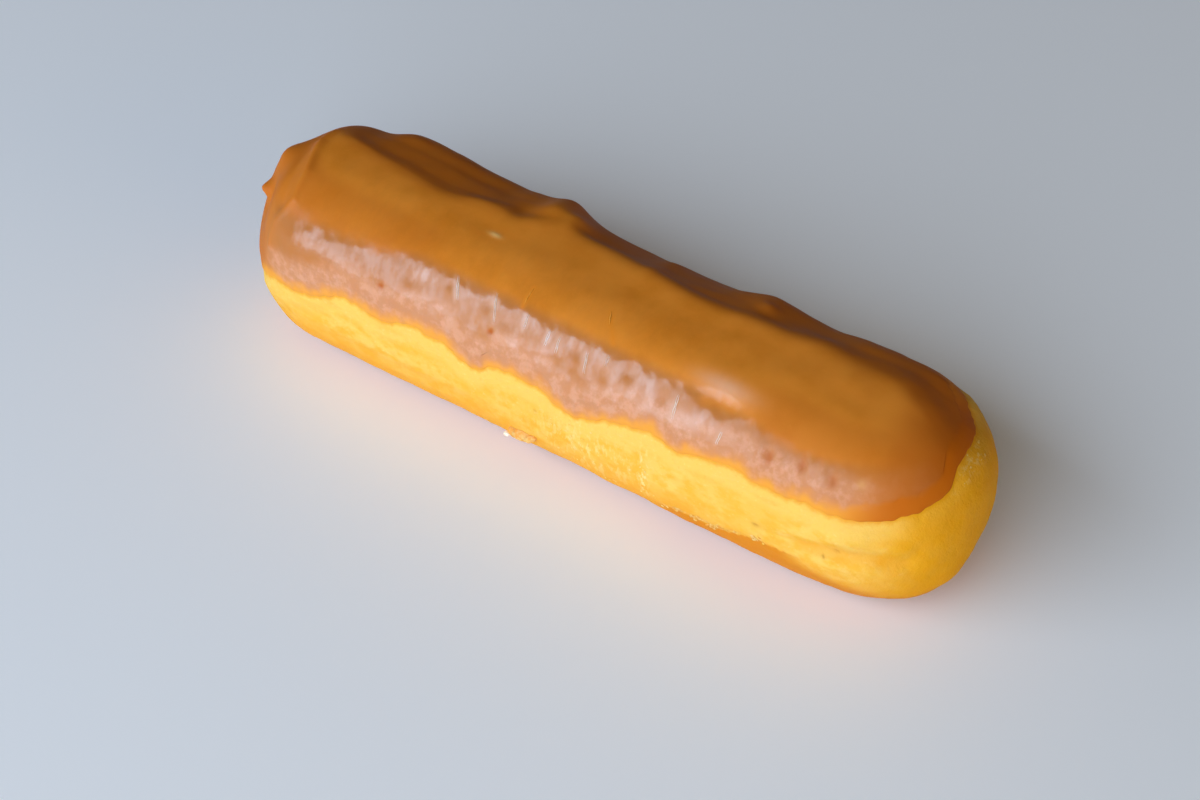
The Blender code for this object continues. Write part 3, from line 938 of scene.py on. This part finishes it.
def icingMaterial(spec):
    material, tree, shader = startMaterial("mapleIcing")
    rim, slope = attribute(tree, "fromRim"), attribute(tree, "slope")
    broad = noise(tree, 12.0, 3)
    small = noise(tree, 2.4, 3, 0.6)
    fine = noise(tree, 0.7, 2, 0.6, (1, 1, 1), (0, 0.2, 0))
    lobes = noise(tree, 5.0, 2, 0.5, (1, 1, 1), (0.1, 0, 0))
    streaks = noise(tree, 2.6, 2, 0.6, (1.5, 0.7, 0.7), (0, 0.3, 0))
    x, _, _ = axes(tree)
    atEnd = remap(tree, x, 0.066, 0.080)
    # painted sheen low on the shown slope, within about 10 mm of the rim
    sheenHaze = remap(tree, ragged(tree, rim, lobes, 3.0), 10.5, 6.5, 0, 0.85)
    uneven = ragged(tree, ragged(tree, rim, lobes, 4.0), small, 0.8)
    wide = calc(tree, "SUBTRACT", uneven, calc(tree, "MULTIPLY", atEnd, 2.4))
    mist = remap(tree, small, 0.42, 0.66, 0, 0.7)
    mixed = {"mottledSheen": blend(tree, mist, spec["paintedSheen"], spec["paintedSheenPink"]),
             "edge": blend(tree, atEnd, spec["rim"], spec["rimShadeAtEnd"])}
    colour = blend(tree, remap(tree, broad, 0.35, 0.65), spec["deep"], spec["caramel"])
    colour = layered(tree, colour, {**spec, **mixed}, (
        (remap(tree, small, 0.35, 0.65, 0, 0.25), "caramel"),
        (remap(tree, fine, 0.60, 0.74, 0, 0.35), "fold"),
        # painted shade behind the line along the top, at the ends and on the shown shoulder
        (calc(tree, "MULTIPLY", attribute(tree, "paintedShade"), 0.85), "paintedShade"),
        # painted shade towards the bare end
        (remap(tree, x, 0.074, 0.088, 0, 0.7), "paintedShadeAtEnd"),
        # painted shade down the shown slope, with a mauve cast of painted sheen
        (calc(tree, "MULTIPLY", slope, 0.85), "slope"),
        (calc(tree, "MULTIPLY", sheenHaze, slope), "mottledSheen"),
        (remap(tree, uneven, 3.6, 1.6, 0, 0.35), "fold"),
        (remap(tree, wide, 2.4, 0.2, 0, 0.95), "edge"),
        # painted shade in the pinholes and pits
        (attribute(tree, "pitShadeMarks"), "pitShade"),
        (attribute(tree, "openMarks"), "open"),
        # painted glints round the threads and a painted sheen patch
        (attribute(tree, "paintedGlintMarks"), "paintedGlint"),
        (attribute(tree, "paleMarks"), "cream"),
    ))
    gloss = calc(tree, "MULTIPLY", attribute(tree, "gloss"), remap(tree, streaks, 0.35, 0.65, 0.55, 1.2))
    fill(tree, shader, {
        "Base Color": colour,
        "Roughness": remap(tree, gloss, 0, 0.5, 0.6, 0.30), "Specular IOR Level": 0.14,
        "Subsurface Weight": 0.15, "Subsurface Radius": (1.0, 0.35, 0.1), "Subsurface Scale": 0.0015,
        "Coat Weight": gloss, "Coat Roughness": 0.17, "Coat IOR": 1.65,
        "Normal": bump(tree, noise(tree, 1.2), 0.02),
    })
    return material


def makeIcing(spec, material):
    crown = arcAt(bar["crownFall"])
    last = edge - spec["lipRings"][0]
    arcs = crown + (last - crown) * np.linspace(0, 1, spec["rings"])[:, None]
    arcs = np.concatenate([arcs, [edge - left for left in spec["lipRings"][1:]]])
    left = edge - arcs
    base = doughPoints(arcs)
    normals = normalsOf(base)
    rounding = np.clip(left / coat["lipRun"], 0, 1)
    rise = coatOver(left) * np.sqrt(1 - (1 - rounding) ** 2)
    outer = base + normals * rise[..., None]
    free = eased(left / spec["freeRun"])
    extra = swellRise(outer, spec["swells"]) + creaseRise(outer, spec["creases"])
    outer += normals * (extra * free)[..., None]
    pick = np.unique(np.linspace(0, len(arcs) - 1, spec["underRings"]).round().astype(int))[::-1]
    under = base[pick] - normals[pick] * coat["bite"]
    x, y, _ = np.moveaxis(outer, -1, 0)
    fall = fallAt(arcs)
    zone = spec["shownBand"]
    middle, halfWidth, later = zone["later"]
    begins = zone["begins"] + later * np.exp(-((x - middle) / halfWidth) ** 2)
    for start, run, later in zone["farOut"]:
        begins += later * ramp(x, start, run)
    slope = ramp(fall, begins, zone["run"]) * ramp(-y, *zone["aside"]) * ramp(x, *zone["ahead"])
    slope *= 1 - zone["faded"] * ramp(x, *zone["fading"])
    # painted shade on the shown shoulder towards both ends
    zone = spec["shadedShoulder"]
    dim = zone["share"] * ramp(fall, *zone["fall"])
    dim *= np.maximum(ramp(x, *zone["far"]), ramp(x, *zone["near"]))
    dim *= ramp(-y, *zone["aside"])
    dim *= 1 + zone["more"] * ramp(x, *zone["farOut"])
    # painted shade at both ends of the top
    zone = spec["shadedEnds"]
    ends = np.maximum(ramp(x, *zone["far"]), zone["nearShare"] * ramp(x, *zone["near"]))
    # painted shade behind the line along the top, except on the lit hummock
    paintedShade = ramp(behindBrow(outer), -2, 6) * (1 - swellRise(outer, spec["lit"]))
    shown = ramp(y, *spec["shown"])
    gloss = np.interp(x, *zip(*spec["glossAlong"])) * (0.4 + 0.6 * eased(left / 3))
    paintedGlint = [((start, end), *spec["paintedGlintRound"]) for start, end, _ in threads["fine"]]
    masks = {
        "fromRim": left,
        "freeSkin": free,
        "rearSkin": free * eased(behindBrow(outer) / 5),
        "paintedShade": np.clip(np.maximum(np.maximum(paintedShade, ends), dim), 0, 1),
        "bandSkin": free * slope * ramp(x, -72, 8),
        "slope": slope,
        "gloss": spec["rearGloss"] + shown * gloss * (1 + swellRise(outer, spec["glints"])),
        "pitShadeMarks": np.clip(swellRise(outer, spec["pitShading"]), 0, 1),
        "paleMarks": np.clip(swellRise(outer, spec["pale"]), 0, 1),
        "openMarks": np.clip(creaseRise(outer, spec["splits"]), 0, 1),
        "paintedGlintMarks": np.clip(creaseRise(outer, paintedGlint) + swellRise(outer, spec["paintedSheenPatch"]), 0, 1),
    }
    none = np.zeros(under.shape[:2])
    values = {title: np.concatenate([mask, none]) for title, mask in masks.items()}
    piece = makeSkin("icingCoat", np.concatenate([outer, under]), values)
    return addRelief(piece, "icingRelief", spec["relief"], material)


# Fine threads that the icing drew out as it set, and two splits that show its warmer inside.
# Each goes from one place to another on the skin, in mm, and is so wide in its middle.
threads = {
    "steps": 14,
    "sides": 8,
    "sink": 0.55,     # share of the width that lies under the skin
    "wander": 0.05,
    "strands": (-0.18, 0.18),  # how far each strand of a thread lies aside
    "seed": 3,
    # pale colours that paint the threads' glints
    "paintedGlint": ((0.84, 0.55, 0.40), (0.93, 0.72, 0.56)),
    "open": ((0.80, 0.25, 0.020), (0.86, 0.31, 0.035)),
    "fine": [
        ((-27.2, -16.5, 38.6), (-24.9, -20, 35.3), 0.17),
        ((-17.3, -16.3, 38.6), (-15.1, -20.5, 34.6), 0.17),
        ((7.3, -18.6, 36.5), (8.2, -21.3, 33), 0.17),
        ((29.6, -18.5, 36.5), (30.2, -21.6, 32.3), 0.18),
        ((41.4, -20.5, 34.2), (41, -22, 31.6), 0.18),
        ((-8.5, -17.2, 38), (-8.2, -19.5, 35.6), 0.14),
        ((-2.5, -18, 37.2), (-2.3, -20.5, 34.6), 0.15),
        ((0.3, -18.3, 36.8), (0.5, -20.8, 34.2), 0.14),
        ((12, -17.6, 37.4), (12.2, -19.4, 35.8), 0.14),
    ],
    "split": [
        ((-10.8, -12.2, 40.5), (-10.6, -16.2, 38.5), 0.3),
        ((6.9, -9.7, 41), (8.4, -12.6, 40), 0.3),
    ],
}


def makeThreads(name, spec, lines, strands, skin, material):
    tree = BVHTree.FromObject(skin, bpy.context.evaluated_depsgraph_get())
    draw = np.random.default_rng(spec["seed"])
    share = np.linspace(0, 1, spec["steps"])
    points, widths, edges = [], [], []
    for (start, end, width), aside in [(line, strand) for line in lines for strand in strands]:
        phase, waves = draw.random() * 6.28, draw.uniform(1, 2.5)
        sway = aside + spec["wander"] * np.sin(share * waves * 6.28 + phase)
        for number, at in enumerate(share):
            spot = Vector(start).lerp(Vector(end), at) + Vector((sway[number], 0, 0))
            spot, normal, _, _ = tree.find_nearest(spot * mm)
            thick = width * max(0.12, math.sin(math.pi * at) ** 0.6)
            points.append((spot + normal * thick * (0.5 - spec["sink"]) * mm * 0.5) / mm)
            widths.append(thick * mm)
            if number:
                edges.append((len(points) - 2, len(points) - 1))
    piece = makePiece(name, points, edges, [], {"threadWidth": widths})
    sweep = threadNodes(name + "Sweep", "threadWidth", material)
    return runNodes(piece, sweep, {"sides": spec["sides"]})


# Floor
floorLook = {"size": 6.0, "colour": (0.93, 0.92, 0.90), "roughness": 0.6, "glow": 0.06}


def makeFloor(spec):
    half = spec["size"] / 2
    mesh = bpy.data.meshes.new("floor")
    corners = [(-half, -half, 0), (half, -half, 0), (half, half, 0), (-half, half, 0)]
    mesh.from_pydata(corners, [], [(0, 1, 2, 3)])
    material, tree, shader = startMaterial("paleFloor")
    fill(tree, shader, {
        "Base Color": spec["colour"],
        "Roughness": spec["roughness"],
        "Emission Color": spec["colour"],
        "Emission Strength": spec["glow"],
    })
    mesh.materials.append(material)
    addObject("floor", mesh)


def dress(piece, node=None):
    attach(piece, "root")
    if node:
        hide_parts(node)
    print("   ", piece.name, sum(len(p.vertices) - 2 for p in piece.data.polygons), "triangles")


say("camera, light and floor")
makeCamera(shot)
makeRoom(lighting)
for lampName in ("window", "warmFill"):
    makeLight(lampName, lighting[lampName])
makeFloor(floorLook)

say("dough")
doughBar = makeDough(dough)
dress(doughBar, "dough")

say("flakes")
skinFlake = flakeMaterial("paleSkin", *flakes["skin"])
crumbFlake = flakeMaterial("paleCrumb", *flakes["crumb"])
for flakeName, mask, look, values in (("skinFlakes", "flaking", skinFlake, flakes["side"]),
                                      ("seamFlakes", "seamFlaking", crumbFlake, flakes["seam"])):
    dress(makeScatter(flakeName, doughBar, mask, flakes["flatness"], look, values))
dress(makeCrustFlake("crustFlake", crustFlake, crustFlake["crust"]))
dress(makeCrustFlake("crustCrumb", crustFlake, crustFlake["tip"]))

say("icing")
icingLook = icingMaterial(icing)
icingCoat = makeIcing(icing, icingLook)
dress(icingCoat, "icing")

say("threads")
# the threads are coloured pale as painted glints
threadLook = flakeMaterial("glintThreadIcing", *threads["paintedGlint"])
splitLook = flakeMaterial("openIcing", *threads["open"])
for lineName, kind, strands, look in (("icingThreads", "fine", threads["strands"], threadLook),
                                      ("icingSplits", "split", (0,), splitLook)):
    dress(makeThreads(lineName, threads, threads[kind], strands, icingCoat, look))

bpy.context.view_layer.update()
say("done")
